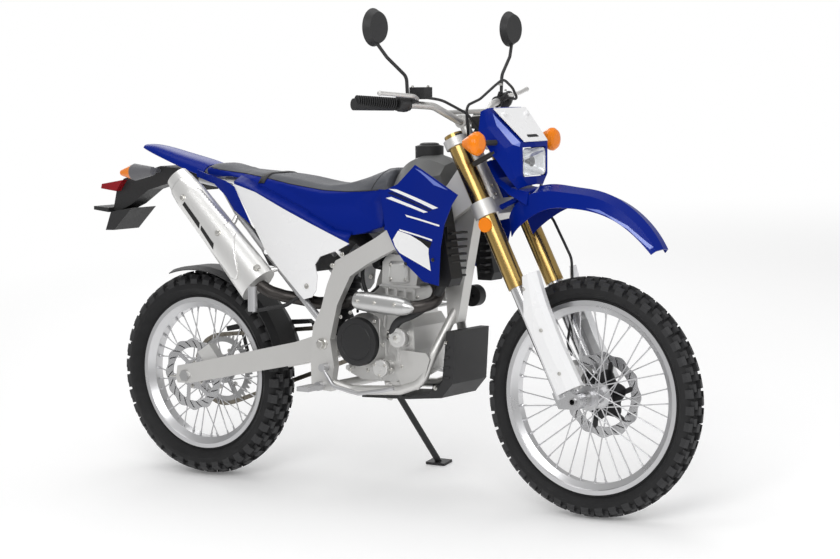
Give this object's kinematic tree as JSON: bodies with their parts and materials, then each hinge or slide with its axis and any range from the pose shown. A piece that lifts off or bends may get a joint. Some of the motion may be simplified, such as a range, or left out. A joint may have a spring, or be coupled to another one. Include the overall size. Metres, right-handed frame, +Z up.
{
  "type": "dual sport motorcycle",
  "caption": "Light dual sport motorcycle with wire-spoked wheels, long-travel fork, high front fender and high muffler, leaning on its side stand.",
  "frame": {"origin": "centre of the bounding box's footprint, on the floor that both tyres and the stand's foot meet", "axes": "+X forwards, +Y to the rider's left, +Z up; the machine leans to its left"},
  "size_m": [2.1898, 0.846, 1.4949],
  "materials": {
    "tyre_rubber": "black knobbly rubber",
    "rim_alloy": "satin silver alloy",
    "hub_alloy": "machined alloy with steel spokes",
    "disc_steel": "ground stainless steel",
    "sprocket_steel": "zinc plated steel",
    "frame_alloy": "satin silver alloy",
    "black_steel": "satin black paint",
    "engine_alloy": "cast alloy",
    "cover_black": "satin black paint",
    "black_plastic": "black moulded plastic",
    "muffler_steel": "satin stainless steel",
    "header_steel": "stainless steel, brushed",
    "radiator_alloy": "black fins and guards",
    "tank_plastic": "black moulded plastic",
    "seat_vinyl": "grey grained vinyl over foam, blue sides",
    "blue_plastic": "deep blue gloss plastic",
    "white_plastic": "white gloss plastic",
    "frame_steel": "silver paint",
    "red_lens": "red lens",
    "amber_lens": "amber lens on a black stalk",
    "chain_steel": "oiled steel",
    "fork_gold": "gold anodised alloy",
    "fork_chrome": "hard chrome tube on a cast alloy foot",
    "grip_rubber": "ribbed black rubber",
    "clear_lens": "clear lens over a bright bowl",
    "hose_rubber": "black rubber hose"
  },
  "bodies": {
    "chassis": {"main_frame": "frame_alloy", "swingarm": "frame_alloy", "rear_axle": "sprocket_steel", "rear_shock": "black_steel", "crankcase": "engine_alloy", "clutch_cover": "cover_black", "cylinder": "engine_alloy", "air_box": "black_plastic", "muffler": "muffler_steel", "exhaust_pipe": "header_steel", "header_shield": "muffler_steel", "radiators": "radiator_alloy", "fuel_tank": "tank_plastic", "tank_cap": "black_plastic", "seat": "seat_vinyl", "radiator_shrouds": "blue_plastic", "side_covers": "white_plastic", "inner_fender": "black_plastic", "rear_subframe": "frame_steel", "tail_cowl": "blue_plastic", "rear_stay": "black_plastic", "tail_lamp": "red_lens", "rear_signals": "amber_lens", "drive_chain": "chain_steel", "chain_guard": "black_plastic", "skid_plate": "black_plastic", "rider_pegs": "frame_steel", "passenger_pegs": "black_steel", "foot_pedals": "frame_steel", "horn": "black_steel", "rear_caliper": "engine_alloy"},
    "steering": {"triple_clamps": "frame_alloy", "fork_tubes": "fork_gold", "fork_sliders": "fork_chrome", "front_axle": "sprocket_steel", "fork_guards": "white_plastic", "handlebar": "frame_alloy", "grips": "grip_rubber", "controls": "black_plastic", "levers": "frame_alloy", "mirrors": "black_plastic", "headlight_mask": "blue_plastic", "headlight": "clear_lens", "screen": "white_plastic", "meter": "black_plastic", "front_fender": "blue_plastic", "front_signals": "amber_lens", "front_caliper": "engine_alloy", "control_lines": "hose_rubber"},
    "front_wheel": {"front_tyre": "tyre_rubber", "front_rim": "rim_alloy", "front_hub": "hub_alloy", "front_disc": "disc_steel"},
    "rear_wheel": {"rear_tyre": "tyre_rubber", "rear_rim": "rim_alloy", "rear_hub": "hub_alloy", "rear_disc": "disc_steel", "rear_sprocket": "sprocket_steel"},
    "side_stand": {"side_stand": "black_steel"}
  },
  "joints": [
    {"name": "steering_turn", "type": "hinge", "parent": "chassis", "child": "steering", "pos_m": [0.37347, -0.05013, 0.95915], "axis": [-0.4493, 0.1398, 0.8824], "range_deg": [-40, 40]},
    {"name": "front_wheel_spin", "type": "hinge", "parent": "steering", "child": "front_wheel", "pos_m": [0.74838, -0.1476, 0.3438], "axis": [0, 0.9877, -0.1564], "continuous": true},
    {"name": "rear_wheel_spin", "type": "hinge", "parent": "chassis", "child": "rear_wheel", "pos_m": [-0.67162, -0.15104, 0.32207], "axis": [0, 0.9877, -0.1564], "continuous": true},
    {"name": "side_stand_fold", "type": "hinge", "parent": "chassis", "child": "side_stand", "pos_m": [-0.04457, -0.01736, 0.27174], "axis": [0.0667, 0.9089, 0.4115], "range_deg": [0, 100]}
  ]
}
